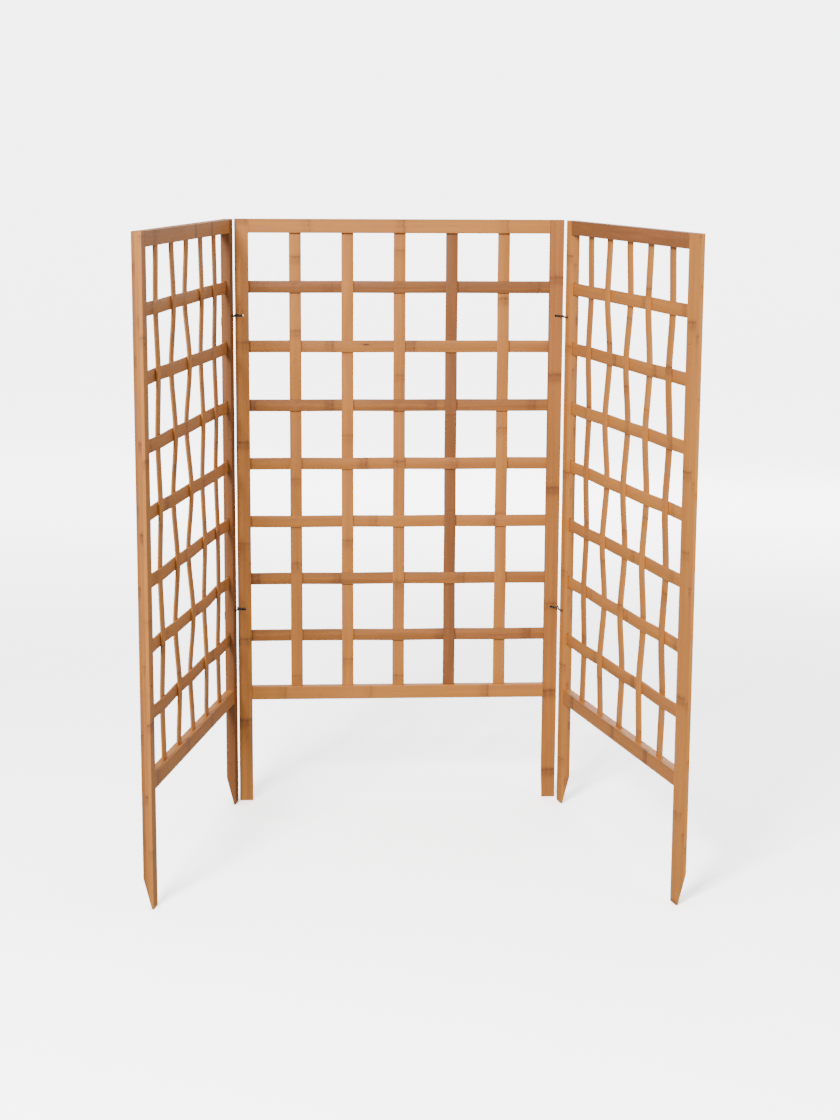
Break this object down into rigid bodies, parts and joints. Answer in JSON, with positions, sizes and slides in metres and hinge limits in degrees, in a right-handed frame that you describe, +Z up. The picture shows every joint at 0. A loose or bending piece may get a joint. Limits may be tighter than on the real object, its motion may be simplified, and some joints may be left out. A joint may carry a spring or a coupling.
{
  "type": "folding lattice screen",
  "caption": "Folding bamboo lattice screen for climbing plants: woven slat panels in batten frames, linked edge to edge with wire loops, standing on bevelled feet.",
  "frame": {"origin": "middle of the overall box on the plan, at the level of the feet", "axes": "+Z up, +X along the centre panel to its right as seen from inside the screen, -Y towards the side that the outer panels stand on"},
  "size_m": [0.8862, 0.6278, 1.092],
  "materials": {
    "bamboo_frame": "smooth planed bamboo, clear satin varnish",
    "bamboo_slat": "split bamboo with its nodes, clear satin varnish",
    "steel_brad": "dull bright steel",
    "steel_wire": "galvanised, dull grey"
  },
  "bodies": {
    "centre_panel": {"centre_left_stile": "bamboo_frame", "centre_right_stile": "bamboo_frame", "centre_top_rail": "bamboo_frame", "centre_bottom_rail": "bamboo_frame", "centre_upright_slat_1": "bamboo_slat", "centre_upright_slat_2": "bamboo_slat", "centre_upright_slat_3": "bamboo_slat", "centre_upright_slat_4": "bamboo_slat", "centre_upright_slat_5": "bamboo_slat", "centre_cross_slat_1": "bamboo_slat", "centre_cross_slat_2": "bamboo_slat", "centre_cross_slat_3": "bamboo_slat", "centre_cross_slat_4": "bamboo_slat", "centre_cross_slat_5": "bamboo_slat", "centre_cross_slat_6": "bamboo_slat", "centre_cross_slat_7": "bamboo_slat", "centre_corner_brads": "steel_brad", "left_upper_link": "steel_wire", "left_lower_link": "steel_wire", "right_upper_link": "steel_wire", "right_lower_link": "steel_wire"},
    "left_panel": {"left_outer_stile": "bamboo_frame", "left_inner_stile": "bamboo_frame", "left_top_rail": "bamboo_frame", "left_bottom_rail": "bamboo_frame", "left_upright_slat_1": "bamboo_slat", "left_upright_slat_2": "bamboo_slat", "left_upright_slat_3": "bamboo_slat", "left_upright_slat_4": "bamboo_slat", "left_upright_slat_5": "bamboo_slat", "left_cross_slat_1": "bamboo_slat", "left_cross_slat_2": "bamboo_slat", "left_cross_slat_3": "bamboo_slat", "left_cross_slat_4": "bamboo_slat", "left_cross_slat_5": "bamboo_slat", "left_cross_slat_6": "bamboo_slat", "left_cross_slat_7": "bamboo_slat", "left_corner_brads": "steel_brad"},
    "right_panel": {"right_inner_stile": "bamboo_frame", "right_outer_stile": "bamboo_frame", "right_top_rail": "bamboo_frame", "right_bottom_rail": "bamboo_frame", "right_upright_slat_1": "bamboo_slat", "right_upright_slat_2": "bamboo_slat", "right_upright_slat_3": "bamboo_slat", "right_upright_slat_4": "bamboo_slat", "right_upright_slat_5": "bamboo_slat", "right_cross_slat_1": "bamboo_slat", "right_cross_slat_2": "bamboo_slat", "right_cross_slat_3": "bamboo_slat", "right_cross_slat_4": "bamboo_slat", "right_cross_slat_5": "bamboo_slat", "right_cross_slat_6": "bamboo_slat", "right_cross_slat_7": "bamboo_slat", "right_corner_brads": "steel_brad"}
  },
  "joints": [
    {"name": "left_panel_fold", "type": "hinge", "parent": "centre_panel", "child": "left_panel", "pos_m": [-0.3004, 0.29245, 0.546], "axis": [0, 0, 1], "range_deg": [-78, 102], "deforming": ["left_upper_link", "left_lower_link"]},
    {"name": "right_panel_fold", "type": "hinge", "parent": "centre_panel", "child": "right_panel", "pos_m": [0.29911, 0.27545, 0.546], "axis": [0, 0, -1], "range_deg": [-78, 102], "deforming": ["right_upper_link", "right_lower_link"]}
  ]
}
